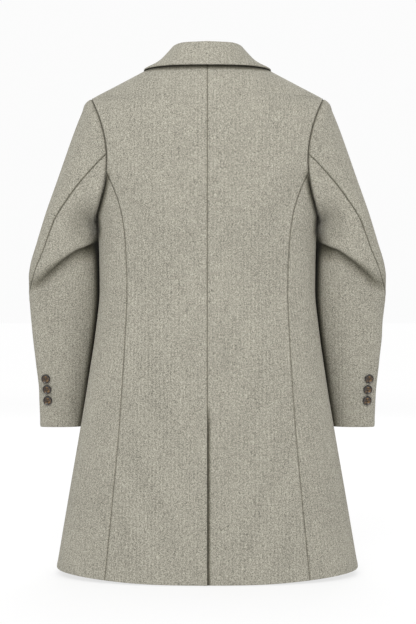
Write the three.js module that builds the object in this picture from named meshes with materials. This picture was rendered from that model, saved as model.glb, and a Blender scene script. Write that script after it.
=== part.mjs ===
// Herringbone wool overcoat, filled out with no wearer, in millimetres with +Z up.
// The wearer faces -Y and the wearer's left is +X, so the back view shows +X on the left.
// The origin is the middle of the neck opening, level with the nape.
import * as THREE from "three";

// Driving sizes
const cloth = 2.4; // wall of the wool coating
const seamGap = 0.3; // between two pieces at a seam
const layGap = 0.9; // between a piece and the panel that it lies on
const neck = { x: 75, z: 13 }; // neck end of the shoulder seam
const shoulder = { x: 221, z: -64 }; // sleeve end of the shoulder seam
const underarm = { x: 211, z: -290 }; // lowest point of the armhole
const hem = { centre: -970, side: -954, bend: 5 }; // bend is how late the hem rises to the side
const ventTop = -631;
const ventUnderlap = 45; // width of the extension under the vent
const frontOverlap = 25; // each front runs this far past the centre
const gorge = { x: 56, z: -42 }; // where collar, lapel and front meet
const lapelBreak = -350; // height where the lapel starts to turn
const sleeveTop = -300; // height of the first level ring of the sleeve
const cuffEnd = -697;
const elbow = -376; // nominal height of the elbow fold

// Level sections of the body: half width at the side, depth behind and before the side line, and
// the power of the superellipse. The shoulder line gives the width down to the shoulder point. The
// width from there to the underarm lies inside the armhole and only shapes the panels beside it.
const bodySections = [
  { z: 13, half: 75, back: 47, front: 38, power: 2.0 },
  { z: 0, half: 99.7, back: 65, front: 52, power: 2.0 },
  { z: -20, half: 137.6, back: 78, front: 67, power: 2.0 },
  { z: -42, half: 179.3, back: 88, front: 79, power: 2.0 },
  { z: -64, half: 221, back: 97, front: 90, power: 2.0 },
  { z: -80, half: 246, back: 102, front: 97, power: 2.0 },
  { z: -100, half: 261, back: 107, front: 105, power: 2.0 },
  { z: -125, half: 268, back: 111.5, front: 113, power: 2.0 },
  { z: -150, half: 264, back: 115, front: 120, power: 2.0 },
  { z: -210, half: 238, back: 116, front: 128, power: 2.1 },
  { z: -290, half: 211, back: 110, front: 130, power: 2.4 },
  { z: -360, half: 207.5, back: 101, front: 127, power: 2.4 },
  { z: -430, half: 206.5, back: 97, front: 125, power: 2.4 },
  { z: -500, half: 213, back: 100, front: 127, power: 2.4 },
  { z: -603, half: 228.5, back: 111, front: 131, power: 2.4 },
  { z: -690, half: 243, back: 121, front: 134, power: 2.4 },
  { z: -844, half: 269, back: 134, front: 138, power: 2.4 },
  { z: -970, half: 290, back: 143, front: 141, power: 2.4 },
];

// Curved seam between the back and the side body, from the armhole to the hem
const backSeam = [
  { z: -212, x: 188.5 },
  { z: -240, x: 176 },
  { z: -290, x: 160.5 },
  { z: -345, x: 153.3 },
  { z: -431, x: 150.4 },
  { z: -524, x: 153.8 },
  { z: -672, x: 162.3 },
  { z: -819, x: 174.9 },
  { z: -970, x: 189.2 },
];

// Seam between the side body and the front, as degrees round the body from the centre back
const sideSeam = [
  { z: -268, turn: 101 },
  { z: -330, turn: 107 },
  { z: -430, turn: 110 },
  { z: -970, turn: 110 },
];

// Level rings of the sleeve: its outer and inner edges, the middle of its depth, half its depth, how
// far the ring leans out towards its back, and the power of the superellipse
const sleeveRings = [
  { z: -300, outer: 311, inner: 210.5, mid: -4, deep: 66, lean: 0.3, power: 2.2 },
  { z: -338, outer: 323.5, inner: 208.5, mid: -8, deep: 63, lean: 0.32, power: 2.2 },
  { z: -384, outer: 337.5, inner: 206.5, mid: -14, deep: 58, lean: 0.34, power: 2.3 },
  { z: -407, outer: 341, inner: 205, mid: -20, deep: 55, lean: 0.36, power: 2.3 },
  { z: -430, outer: 341, inner: 204, mid: -26, deep: 52, lean: 0.38, power: 2.4 },
  { z: -500, outer: 337.5, inner: 205, mid: -42, deep: 47, lean: 0.4, power: 2.5 },
  { z: -570, outer: 331, inner: 214, mid: -58, deep: 44, lean: 0.42, power: 2.7 },
  { z: -640, outer: 325.5, inner: 226, mid: -74, deep: 42, lean: 0.4, power: 2.9 },
  { z: -697, outer: 325, inner: 234, mid: -88, deep: 41, lean: 0.35, power: 3.0 },
];

// Elbow fold: its height round the sleeve, and how far it stands out, with turn 0 at the outer edge,
// 90 at the back and 180 next to the body
const elbowFold = [
  { turn: -180, z: -334, reach: 0 },
  { turn: -135, z: -345, reach: 0 },
  { turn: -90, z: -372, reach: 0.35 },
  { turn: -45, z: -395, reach: 0 },
  { turn: 0, z: -414, reach: 0 },
  { turn: 39, z: -418, reach: 0.12 },
  { turn: 60, z: -412, reach: 0.4 },
  { turn: 87, z: -389, reach: 0.75 },
  { turn: 110, z: -366, reach: 0.95 },
  { turn: 132, z: -349, reach: 1 },
  { turn: 160, z: -340, reach: 0.2 },
  { turn: 180, z: -334, reach: 0 },
];

// Form across the elbow fold: the cloth above it hangs over the cloth below it
const foldForm = [
  { below: -70, out: 0 },
  { below: -32, out: 3 },
  { below: -12, out: 6.5 },
  { below: -3, out: 6 },
  { below: 3, out: -4.5 },
  { below: 14, out: -6 },
  { below: 38, out: -3 },
  { below: 90, out: 0 },
];

// Seams of the sleeve, as degrees round it, from the armhole down to the cuff
const sleeveSeams = [
  { z: -250, hind: 88, front: -128 },
  { z: -330, hind: 66, front: -128 },
  { z: -385, hind: 30, front: -126 },
  { z: -450, hind: 8, front: -124 },
  { z: -700, hind: 8, front: -120 },
];

// Collar from the centre back to the gorge: the top of its fold, and the place of its edge on the
// body with the height of the cloth over it
const collarRows = [
  { along: 0, foldX: 0, foldY: 60, foldZ: 37, edgeTurn: 0, edgeZ: -14.3, edgeLift: 9 },
  { along: 0.25, foldX: 46, foldY: 49, foldZ: 36.5, edgeTurn: 44, edgeZ: -13.5, edgeLift: 8 },
  { along: 0.5, foldX: 67, foldY: 4, foldZ: 34, edgeTurn: 90, edgeZ: -11, edgeLift: 3.6 },
  { along: 0.75, foldX: 66, foldY: -44, foldZ: 8, edgeTurn: 112, edgeZ: -36, edgeLift: 7 },
  { along: 1, foldX: 58, foldY: -79, foldZ: -38, edgeTurn: 123, edgeZ: -70, edgeLift: 7 },
];

// Outer edge of the lapel, from its tip down to the break
const lapelEdge = [
  { down: 0, x: 140, z: -112 },
  { down: 0.3, x: 117, z: -168 },
  { down: 0.7, x: 38, z: -278 },
  { down: 1, x: -19, z: -350 },
];

// Steps of the grids
const steps = { shoulder: 4, skirt: 13, back: 8, front: 7 };

// Points of the armhole that the body panels and the sleeve share, in tenths of the half turn from
// the shoulder point round the back (+) or the front (-) to the underarm
const backStations = [0, 1, 2, 3, 4, 5, 5.5, 6];
const sideStations = [6, 6.5, 7, 7.5, 8, 8.5, 9, 9.5, 10, 10.5, 11, 11.5, 12];
const frontStations = [0, -1, -2, -3, -4, -5, -6, -7, -7.5, -8];
const upperStations = [5, 4, 3, 2, 1, 0, -1, -2, -3, -4, -5, -6, -7];
const underStations = [5, 5.5, ...sideStations, 12.5, 13];
const armholeStep = Math.PI / 10;

const degrees = (turn) => (turn * Math.PI) / 180;
const mix = (from, to, share) => from + (to - from) * share;
const smooth = (from, to, value) => {
  const t = THREE.MathUtils.clamp((value - from) / (to - from), 0, 1);
  return t * t * (3 - 2 * t);
};

// A smooth curve through one column of a table, with no overshoot between its rows
function tableCurve(rows, along, column) {
  const at = rows.map((row) => row[along]);
  const value = rows.map((row) => row[column]);
  const rise = rows.slice(1).map((_, i) => (value[i + 1] - value[i]) / (at[i + 1] - at[i]));
  const slope = rows.map((_, i) => {
    if (i === 0 || i === rows.length - 1) return rise[Math.min(i, rise.length - 1)];
    const [before, after] = [rise[i - 1], rise[i]];
    return before * after <= 0 ? 0 : (2 * before * after) / (before + after);
  });
  return (place) => {
    let i = 0;
    while (i < rise.length - 1 && (place - at[i + 1]) * (at[1] - at[0]) > 0) i += 1;
    const span = at[i + 1] - at[i];
    const t = (place - at[i]) / span;
    const start = (1 + 2 * t) * (1 - t) ** 2;
    return (
      start * value[i] +
      (1 - start) * value[i + 1] +
      t * (1 - t) ** 2 * span * slope[i] -
      t * t * (1 - t) * span * slope[i + 1]
    );
  };
}

function tableCurves(rows, along) {
  const columns = Object.keys(rows[0]).filter((name) => name !== along);
  return Object.fromEntries(columns.map((name) => [name, tableCurve(rows, along, name)]));
}

const body = tableCurves(bodySections, "z");
const sleeve = tableCurves(sleeveRings, "z");
const fold = tableCurves(elbowFold, "turn");
const seams = tableCurves(sleeveSeams, "z");
const collar = tableCurves(collarRows, "along");
const lapel = tableCurves(lapelEdge, "down");
const foldOut = tableCurve(foldForm, "below", "out");
const backSeamX = tableCurve(backSeam, "z", "x");
const sideSeamTurn = tableCurve(sideSeam, "z", "turn");

// The body's surface, by the turn from the centre back towards +X and the height
function bodyPoint(turn, z) {
  const side = Math.sin(turn);
  const rear = Math.cos(turn);
  const depth = rear > 0 ? body.back(z) : body.front(z);
  const power = body.power(z);
  const reach = ((Math.abs(side) / body.half(z)) ** power + (Math.abs(rear) / depth) ** power) ** (-1 / power);
  return new THREE.Vector3(reach * side, reach * rear, z);
}

// The turn at which the body's back (face 1) or front (face -1) has the given x
function turnAt(x, z, face) {
  const power = body.power(z);
  const depth = face > 0 ? body.back(z) : body.front(z);
  const share = Math.min(Math.abs(x) / body.half(z), 1);
  const turn = Math.atan2(Math.abs(x), face * depth * (1 - share ** power) ** (1 / power));
  return x < 0 ? (face > 0 ? -turn : 2 * Math.PI - turn) : turn;
}

// The armhole, from the shoulder point (0) round the back (+) or front (-) to the underarm (pi)
function armhole(angle) {
  const low = (1 - Math.cos(angle)) / 2;
  const scoop = (angle > 0 ? 28 : 34) * Math.abs(Math.sin(angle)) ** 2.2;
  const z = mix(shoulder.z, underarm.z, low);
  const x = mix(shoulder.x, underarm.x, low) - scoop;
  return [turnAt(x, z, angle >= 0 ? 1 : -1), z];
}

// Evenly spaced values, both ends included
function evenly(from, to, count) {
  return Array.from({ length: count + 1 }, (_, i) => mix(from, to, i / count));
}

const counted = (count) => Array.from({ length: count }, (_, i) => i);

// Edges of the body panels, each a list of [turn, height]
const shoulderLine = evenly(neck.z, shoulder.z, steps.shoulder).map((z) => [Math.PI / 2, z]);
const backArmhole = backStations.map((k) => armhole(k * armholeStep));
const sideArmhole = sideStations.map((k) => armhole((k > 10 ? k - 20 : k) * armholeStep));
const frontArmhole = frontStations.map((k) => armhole(k * armholeStep));
const hemAt = (turn) => mix(hem.centre, hem.side, Math.abs(Math.sin(turn)) ** hem.bend);

function backSeamLine() {
  const top = backArmhole.at(-1)[1];
  const foot = hemAt(degrees(60));
  return evenly(top, foot, steps.skirt).map((z) => [turnAt(backSeamX(z), z, 1), z]);
}

function sideSeamLine() {
  const top = frontArmhole.at(-1);
  const foot = hemAt(degrees(110));
  return evenly(top[1], foot, steps.skirt).map((z, i) => [i === 0 ? top[0] : degrees(sideSeamTurn(z)), z]);
}

// The roll line of a lapel, and the front edge below it, as x and height
function rollLine(count) {
  return evenly(0, 1, count).map((t) => ({ x: mix(gorge.x, -frontOverlap, t), z: mix(gorge.z, lapelBreak, t) }));
}

// Rows of surface parameters between two edges with equal numbers of points
function ruled(first, second, columns) {
  return first.map((start, i) =>
    evenly(0, 1, columns).map((t) => [mix(start[0], second[i][0], t), mix(start[1], second[i][1], t)]),
  );
}

// A panel's grid with its lowest rows bent to the curve of the hem
function hemmed(grid) {
  const foot = grid.at(-1);
  return grid.map((row, i) => {
    const near = smooth(0.75, 1, i / (grid.length - 1));
    return row.map(([turn, z], j) => [turn, z + near * (hemAt(foot[j][0]) - foot[j][1])]);
  });
}

// The grid with its border drawn in by half a seam gap
function drawnIn(surface, grid) {
  const pull = (end, next) => {
    const length = surface(...end).distanceTo(surface(...next));
    const share = Math.min(seamGap / 2 / length, 0.4);
    return [mix(end[0], next[0], share), mix(end[1], next[1], share)];
  };
  const rows = grid.map((row) => [pull(row[0], row[1]), ...row.slice(1, -1), pull(row.at(-1), row.at(-2))]);
  const top = rows[0].map((end, j) => pull(end, rows[1][j]));
  const foot = rows.at(-1).map((end, j) => pull(end, rows.at(-2)[j]));
  return [top, ...rows.slice(1, -1), foot];
}

// A point moved off its surface along the surface's outward normal
function lifted(surface, u, v, lift) {
  const small = 0.002;
  const around = surface(u + small, v).sub(surface(u - small, v));
  const along = surface(u, v + small * 50).sub(surface(u, v - small * 50));
  const normal = along.cross(around).normalize();
  return surface(u, v).addScaledVector(normal, lift);
}

// A closed cloth wall over a grid: the outer face lies at lift, the inner face one cloth below it
function clothWall(surface, grid, lift = () => 0) {
  const cells = drawnIn(surface, grid);
  const rows = cells.length;
  const columns = cells[0].length;
  const faces = [0, cloth].map((depth) =>
    cells.flatMap((row) => row.map(([u, v]) => lifted(surface, u, v, lift(u, v) - depth))),
  );
  const points = faces.flat();
  const inner = rows * columns;
  const at = (i, j) => i * columns + j;
  const index = [];
  const quad = (a, b, c, d) => index.push(a, b, c, a, c, d);
  for (let i = 0; i < rows - 1; i += 1) {
    for (let j = 0; j < columns - 1; j += 1) {
      const [a, b, c, d] = [at(i, j), at(i, j + 1), at(i + 1, j + 1), at(i + 1, j)];
      quad(a, b, c, d);
      quad(inner + d, inner + c, inner + b, inner + a);
    }
  }
  const border = [
    ...counted(columns - 1).map((j) => at(0, j)),
    ...counted(rows - 1).map((i) => at(i, columns - 1)),
    ...counted(columns - 1).map((j) => at(rows - 1, columns - 1 - j)),
    ...counted(rows - 1).map((i) => at(rows - 1 - i, 0)),
  ];
  border.forEach((start, k) => {
    const end = border[(k + 1) % border.length];
    quad(end, start, inner + start, inner + end);
  });
  return facingOut(points, index);
}

// A geometry from points and triangles, turned so that its faces look outwards
function facingOut(points, index) {
  let volume = 0;
  for (let i = 0; i < index.length; i += 3) {
    const [a, b, c] = [points[index[i]], points[index[i + 1]], points[index[i + 2]]];
    volume += a.dot(new THREE.Vector3().crossVectors(b, c));
  }
  const order = volume > 0 ? index : index.slice().reverse();
  const geometry = new THREE.BufferGeometry();
  geometry.setAttribute("position", new THREE.Float32BufferAttribute(points.flatMap((p) => p.toArray()), 3));
  geometry.setIndex(order);
  geometry.computeVertexNormals();
  return geometry;
}

// The same piece for the other side of the coat
function mirrored(geometry) {
  const position = geometry.getAttribute("position");
  const points = counted(position.count).map(
    (i) => new THREE.Vector3(-position.getX(i), position.getY(i), position.getZ(i)),
  );
  return facingOut(points, Array.from(geometry.getIndex().array));
}

// Back, side body and front
function backPanel() {
  const outer = [...shoulderLine.slice(0, -1), ...backArmhole.slice(0, -1), ...backSeamLine()];
  const centre = outer.map(([, z], i) => [0, i < steps.shoulder ? (shoulder.z * i) / steps.shoulder : z]);
  centre[centre.length - 1][1] = hem.centre;
  return clothWall(bodyPoint, hemmed(ruled(centre, outer, steps.back)));
}

function sidePanel() {
  const seam = backSeamLine();
  const other = sideSeamLine();
  const grid = hemmed(ruled(seam, other, sideArmhole.length - 1));
  const settle = (i) => 1 - smooth(0, 4, i);
  const shaped = grid.map((row, i) =>
    row.map(([turn, z], j) => {
      const [armTurn, armZ] = sideArmhole[j];
      const [topTurn, topZ] = grid[0][j];
      return [turn + (armTurn - topTurn) * settle(i), z + (armZ - topZ) * settle(i)];
    }),
  );
  return clothWall(bodyPoint, shaped);
}

// How far the left front rises to pass over the right one
function overRight(turn, z) {
  const x = bodyPoint(turn, z).x;
  return (cloth + layGap) * smooth(85, 35, x) * smooth(-170, -240, z);
}

function frontPanel(lift) {
  const outer = [...shoulderLine.slice(0, -1), ...frontArmhole.slice(0, -1), ...sideSeamLine()];
  const rollSteps = steps.shoulder + frontStations.length - 1;
  const edge = [
    ...rollLine(rollSteps),
    ...evenly(lapelBreak, hem.centre, steps.skirt).slice(1).map((z) => ({ x: -frontOverlap, z })),
  ];
  const inner = edge.map(({ x, z }) => [turnAt(x, z, -1), z]);
  return clothWall(bodyPoint, hemmed(ruled(outer, inner, steps.front)), lift);
}

function ventUnderlapPanel() {
  const rows = backSeamLine().map(([, z]) => z).filter((z) => z < ventTop);
  const heights = [ventTop, ...rows.slice(0, -1), hem.centre];
  const grid = heights.map((z) => evenly(0, ventUnderlap, 2).map((x) => [turnAt(x, z, 1), z]));
  return clothWall(bodyPoint, grid, () => -cloth - layGap);
}

// A lapel over its front. On the right side it stays clear of the left front's edge.
function lapelPanel(lift, isUnder) {
  const rows = rollLine(12).map(({ x, z }, i) => {
    const down = i / 12;
    const start = { x: isUnder ? Math.max(x, 3 - x) : x, z };
    const end = { x: Math.max(lapel.x(down), start.x + 6), z: lapel.z(down) };
    return evenly(0, 1, 4).map((t) => {
      const x2 = mix(start.x, end.x, t);
      const z2 = mix(start.z, end.z, t);
      return [turnAt(x2, z2, -1), z2];
    });
  });
  return clothWall(bodyPoint, rows, (turn, z) => {
    const rollX = mix(gorge.x, -frontOverlap, (gorge.z - z) / (gorge.z - lapelBreak));
    const swell = smooth(0, 30, bodyPoint(turn, z).x - rollX);
    return lift(turn, z) + cloth + 0.6 + 1.7 * swell;
  });
}

// The collar's surface: along runs from the centre back (0) to the gorge (1), across from the edge
// of the leaf (0) over the fold to the foot of the stand (1)
function collarHalf(along, across) {
  const share = Math.min(along, 1);
  const backHalf = share <= 0.5;
  const neckEnd = turnAt(gorge.x, gorge.z, -1);
  const turn = backHalf ? Math.PI * share : mix(Math.PI / 2, neckEnd, share * 2 - 1);
  const footZ = backHalf ? neck.z * share * 2 : mix(neck.z, gorge.z, share * 2 - 1);
  const neckline = bodyPoint(turn, footZ);
  const top = new THREE.Vector3(collar.foldX(share), collar.foldY(share), collar.foldZ(share));
  const edge = lifted(bodyPoint, degrees(collar.edgeTurn(share)), collar.edgeZ(share), collar.edgeLift(share));
  const out = new THREE.Vector3(edge.x - neckline.x, edge.y - neckline.y, 0).normalize();
  const foot = neckline.addScaledVector(out, -cloth).add(new THREE.Vector3(0, 0, -seamGap));
  const round = 4.2;
  const middle = top.clone().add(new THREE.Vector3(0, 0, -round));
  const inside = middle.clone().addScaledVector(out, -round);
  const outside = middle.clone().addScaledVector(out, round);
  const standMid = foot.clone().lerp(inside, 0.5).addScaledVector(out, -1);
  const leafMid = outside.clone().lerp(edge, 0.5).add(new THREE.Vector3(0, 0, 0.5)).addScaledVector(out, 0.5);
  const line = new THREE.CatmullRomCurve3([edge, leafMid, outside, top, inside, standMid, foot]);
  return line.getPoint(THREE.MathUtils.clamp(across, 0, 1));
}

function collarPoint(along, across) {
  const point = collarHalf(Math.abs(along), across);
  return along < 0 ? point.setX(-point.x) : point;
}

function collarPanel() {
  const alongs = [...evenly(0, 0.5, steps.back), ...evenly(0.5, 0.985, steps.front).slice(1)];
  const both = [...alongs.slice(1).reverse().map((a) => -a), ...alongs];
  const acrosses = [0, 0.09, 0.18, 0.27, 0.35, 0.42, 0.5, 0.58, 0.66, 0.76, 0.88, 1];
  const grid = acrosses.map((across) => both.map((along) => [along, across]));
  return collarWall(grid);
}

// The collar's wall: its normals come from a wider step across the fold than the body's do
function collarWall(grid) {
  const scaled = (along, across) => collarPoint(along, across / 100);
  return clothWall(scaled, grid.map((row) => row.map(([along, across]) => [along, across * 100])));
}

// The sleeve's surface: turn runs from the outer edge (0) round the back to the body (180 degrees),
// down is the nominal distance below the first level ring, and the cap has negative values of it
const capDown = -200;

function sleeveRing(turn, z, grow) {
  const deep = sleeve.deep(z) + grow;
  const lean = sleeve.lean(z);
  const half = Math.sqrt(((sleeve.outer(z) - sleeve.inner(z)) / 2 + grow) ** 2 - (lean * deep) ** 2);
  const power = sleeve.power(z);
  const across = Math.cos(turn);
  const rear = Math.sin(turn);
  const reach = ((Math.abs(across) / half) ** power + (Math.abs(rear) / deep) ** power) ** (-1 / power);
  const middle = (sleeve.outer(z) + sleeve.inner(z)) / 2;
  return new THREE.Vector3(middle + reach * (across + lean * rear), sleeve.mid(z) + reach * rear, z);
}

// The cap's directions at the armhole and at the first ring, at the top, sides and underarm. The
// tuck is where the sleeve stands out past its seam, low on the armhole.
const capLeaves = { top: [60, 0, -5], side: [42, 6, -35], under: [3, 0, -4], tuck: [6, 62, -14] };
const capJoins = { top: [80, 0, -270], side: [35, 0, -130], under: [1, 0, -12], tuck: [0, 0, 0] };
const tuckTurn = 135;
const tuckSpread = 42;

function capDirection(table, turn) {
  const share = {
    top: Math.max(Math.cos(turn), 0) ** 2,
    side: Math.sin(turn) ** 2,
    under: Math.max(-Math.cos(turn), 0) ** 2,
    tuck: turn > 0 ? 1 - smooth(0, degrees(tuckSpread), Math.abs(turn - degrees(tuckTurn))) : 0,
  };
  const parts = [0, 1, 2].map((k) => Object.keys(share).reduce((sum, name) => sum + share[name] * table[name][k], 0));
  return new THREE.Vector3(parts[0], parts[1] * Math.sign(Math.sin(turn)), parts[2]);
}

function wrapped(turn) {
  return Math.atan2(Math.sin(turn), Math.cos(turn));
}

function sleevePoint(turn, down) {
  const around = wrapped(turn);
  if (down < 0) {
    const t = Math.max(1 - down / capDown, 0);
    const start = bodyPoint(...armhole(around));
    const end = sleeveRing(around, sleeveTop, 0);
    const weight = (1 + 2 * t) * (1 - t) ** 2;
    return start
      .multiplyScalar(weight)
      .addScaledVector(end, 1 - weight)
      .addScaledVector(capDirection(capLeaves, around), t * (1 - t) ** 2)
      .addScaledVector(capDirection(capJoins, around), -t * t * (1 - t));
  }
  const level = sleeveTop - down;
  const window = smooth(sleeveTop, elbow, level) * (1 - smooth(elbow, elbow - 130, level));
  const turnDegrees = (around * 180) / Math.PI;
  const z = level + (fold.z(turnDegrees) - elbow) * window;
  const below = elbow - level;
  const out = below > -70 && below < 90 ? foldOut(below) * fold.reach(turnDegrees) : 0;
  return sleeveRing(around, z, out);
}

const capRows = [0, 0.07, 0.16, 0.28, 0.42, 0.58, 0.74, 0.88].map((t) => capDown * (1 - t));
const foldRows = [-32, -12, -3, 3, 14, 38].map((below) => sleeveTop - elbow + below);
const armRows = [0, 22, ...foldRows, 150, 200, 250, 300, 350, sleeveTop - cuffEnd];

// Part of a sleeve between two seams: at the armhole its columns meet the body panels' own points
function sleevePanel(armSteps, seamTurns) {
  const rows = [...capRows, ...armRows];
  const grid = rows.map((down) => {
    const settle = smooth(capDown, 0, down);
    const level = sleeveTop - Math.max(down, -50);
    const [from, to] = seamTurns(level);
    return armSteps.map((k, j) => {
      const even = mix(from, to, j / (armSteps.length - 1));
      return [mix(k * armholeStep, degrees(even), settle), down];
    });
  });
  return clothWall(sleevePoint, grid);
}

const upperSleeve = () => sleevePanel(upperStations, (z) => [seams.hind(z), seams.front(z)]);
const underSleeve = () => sleevePanel(underStations, (z) => [seams.hind(z), seams.front(z) + 360]);

// A button with a raised rim, its foot on the plane z = 0
function buttonShape(radius, thick) {
  const rim = radius * 0.78;
  const profile = [
    [0, 0],
    [radius * 0.86, 0],
    [radius, thick * 0.4],
    [radius * 0.93, thick],
    [rim, thick * 0.92],
    [rim * 0.8, thick * 0.6],
    [0, thick * 0.6],
  ];
  const lathe = new THREE.LatheGeometry(profile.map(([r, h]) => new THREE.Vector2(r, h)), 16);
  return lathe.rotateX(Math.PI / 2);
}

function placeButton(mesh, foot, normal) {
  mesh.quaternion.setFromUnitVectors(new THREE.Vector3(0, 0, 1), normal);
  mesh.position.copy(foot).addScaledVector(normal, 2 * seamGap);
}

const frontButtons = { radius: 12.5, thick: 4.5, heights: [-372, -492, -612] };
const cuffButtons = { radius: 9, thick: 3.4, inFromEdge: 15.5, heights: [-601, -622, -643.5] };

const clothMaterial = new THREE.MeshStandardMaterial({ color: 0xa8a394, roughness: 0.95, metalness: 0 });
const buttonMaterial = new THREE.MeshStandardMaterial({ color: 0x4a3424, roughness: 0.35, metalness: 0 });

const coat = new THREE.Group();

function add(name, geometry, material = clothMaterial) {
  const mesh = new THREE.Mesh(geometry, material);
  mesh.name = name;
  coat.add(mesh);
  return mesh;
}

const flat = () => 0;

add("back_left", backPanel());
add("back_right", mirrored(backPanel()));
add("vent_underlap", ventUnderlapPanel());
add("side_left", sidePanel());
add("side_right", mirrored(sidePanel()));
add("front_left", frontPanel(overRight));
add("front_right", mirrored(frontPanel(flat)));
add("lapel_left", lapelPanel(overRight, false));
add("lapel_right", mirrored(lapelPanel(flat, true)));
add("collar", collarPanel());
add("sleeve_upper_left", upperSleeve());
add("sleeve_upper_right", mirrored(upperSleeve()));
add("sleeve_under_left", underSleeve());
add("sleeve_under_right", mirrored(underSleeve()));

frontButtons.heights.forEach((z, i) => {
  const mesh = add(`front_button_${i + 1}`, buttonShape(frontButtons.radius, frontButtons.thick), buttonMaterial);
  const foot = lifted(bodyPoint, Math.PI, z, overRight(Math.PI, z));
  placeButton(mesh, foot, foot.clone().sub(lifted(bodyPoint, Math.PI, z, 0)).normalize());
});

// The turn on the sleeve's back at which it has the given distance in from its outer edge
function sleeveTurnAt(inFromEdge, z) {
  let [low, high] = [degrees(25), degrees(120)];
  for (let i = 0; i < 30; i += 1) {
    const middle = (low + high) / 2;
    const isOutside = sleevePoint(middle, sleeveTop - z).x > sleeve.outer(z) - inFromEdge;
    [low, high] = isOutside ? [middle, high] : [low, middle];
  }
  return low;
}

for (const [side, sign] of [["left", 1], ["right", -1]]) {
  cuffButtons.heights.forEach((z, i) => {
    const name = `cuff_button_${side}_${i + 1}`;
    const mesh = add(name, buttonShape(cuffButtons.radius, cuffButtons.thick), buttonMaterial);
    const turn = sleeveTurnAt(cuffButtons.inFromEdge, z);
    const foot = lifted(sleevePoint, turn, sleeveTop - z, 0);
    const normal = lifted(sleevePoint, turn, sleeveTop - z, 1).sub(foot);
    placeButton(mesh, foot.setX(foot.x * sign), normal.setX(normal.x * sign).normalize());
  });
}

export default coat;
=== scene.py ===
# Herringbone wool overcoat, filled out with no wearer and seen from behind.
# Sizes in the tables are millimetres, and each point becomes metres as it enters a mesh.
# The wearer faces -Y, and the wearer's left is +X, which is on the left of the picture.
import math

import bpy
import numpy as np
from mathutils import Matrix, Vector


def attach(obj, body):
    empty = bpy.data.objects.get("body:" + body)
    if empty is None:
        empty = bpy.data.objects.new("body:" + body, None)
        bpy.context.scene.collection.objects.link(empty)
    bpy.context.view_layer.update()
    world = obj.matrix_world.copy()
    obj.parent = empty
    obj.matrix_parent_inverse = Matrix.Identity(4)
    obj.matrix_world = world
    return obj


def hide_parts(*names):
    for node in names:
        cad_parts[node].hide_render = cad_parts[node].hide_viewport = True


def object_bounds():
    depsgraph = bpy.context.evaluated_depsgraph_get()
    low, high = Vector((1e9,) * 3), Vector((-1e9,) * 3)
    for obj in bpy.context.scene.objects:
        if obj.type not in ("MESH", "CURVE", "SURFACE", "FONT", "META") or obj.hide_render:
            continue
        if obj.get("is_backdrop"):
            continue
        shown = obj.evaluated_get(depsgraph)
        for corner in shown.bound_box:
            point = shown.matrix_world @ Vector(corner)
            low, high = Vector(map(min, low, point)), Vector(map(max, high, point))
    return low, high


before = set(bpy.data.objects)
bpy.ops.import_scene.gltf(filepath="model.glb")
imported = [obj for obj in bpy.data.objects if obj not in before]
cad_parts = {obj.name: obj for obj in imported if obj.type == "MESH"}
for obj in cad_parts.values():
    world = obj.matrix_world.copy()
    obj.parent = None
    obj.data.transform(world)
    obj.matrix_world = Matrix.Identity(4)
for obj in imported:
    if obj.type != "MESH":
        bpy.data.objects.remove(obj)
cad_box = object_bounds()

MM = 0.001

# Camera, level and square to the back, at the middle of the coat's height
camera_data = bpy.data.cameras.new("camera")
camera_data.sensor_fit = "VERTICAL"
camera_data.sensor_height = 24
camera_data.lens = 54.89
camera = bpy.data.objects.new("camera", camera_data)
camera.location = (-0.00115, 2.74, -0.472)
camera.rotation_euler = (math.radians(90), 0, math.radians(180))
bpy.context.collection.objects.link(camera)
bpy.context.scene.camera = camera

# Driving sizes. CLOTH is the wall's thickness, and LAY_GAP lies between two layers.
CLOTH = 2.4
SEAM_GAP = 0.3
SEAM_MEET = -0.05
LAY_GAP = 0.9
NECK = {"x": 75, "z": 13}
SHOULDER = {"x": 221, "z": -64}
UNDERARM = {"x": 211, "z": -290}
HEM = {"centre": -970, "side": -958, "bend": 5.5}
VENT_TOP = -631
VENT_UNDERLAP = 45
FRONT_OVERLAP = 25
GORGE = {"x": 56, "z": -42}
LAPEL_BREAK = -350
SLEEVE_TOP = -300
CUFF_END = -697
ELBOW = -376
CAP_DOWN = -200


def smooth_curve(at, value):
    """A smooth curve through the given points, with no overshoot between them."""
    if at[0] > at[-1]:
        at, value = at[::-1], value[::-1]
    rise = np.diff(value) / np.diff(at)
    slope = np.empty_like(value)
    slope[0], slope[-1] = rise[0], rise[-1]
    before, after = rise[:-1], rise[1:]
    same_way = before * after > 0
    total = np.where(same_way, before + after, 1.0)
    slope[1:-1] = np.where(same_way, 2 * before * after / total, 0.0)

    def evaluate(place):
        place = np.asarray(place, float)
        i = np.clip(np.searchsorted(at, place) - 1, 0, len(rise) - 1)
        span = at[i + 1] - at[i]
        t = (place - at[i]) / span
        start = (1 + 2 * t) * (1 - t) ** 2
        bend = t * (1 - t) ** 2 * span * slope[i] - t * t * (1 - t) * span * slope[i + 1]
        return start * value[i] + (1 - start) * value[i + 1] + bend

    return evaluate


def table(names, rows):
    """Curves through the columns of a table, by name, along its first column."""
    along, *others = names.split()
    columns = dict(zip([along, *others], np.array(rows, float).T))
    return {name: smooth_curve(columns[along], columns[name]) for name in others}


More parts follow.
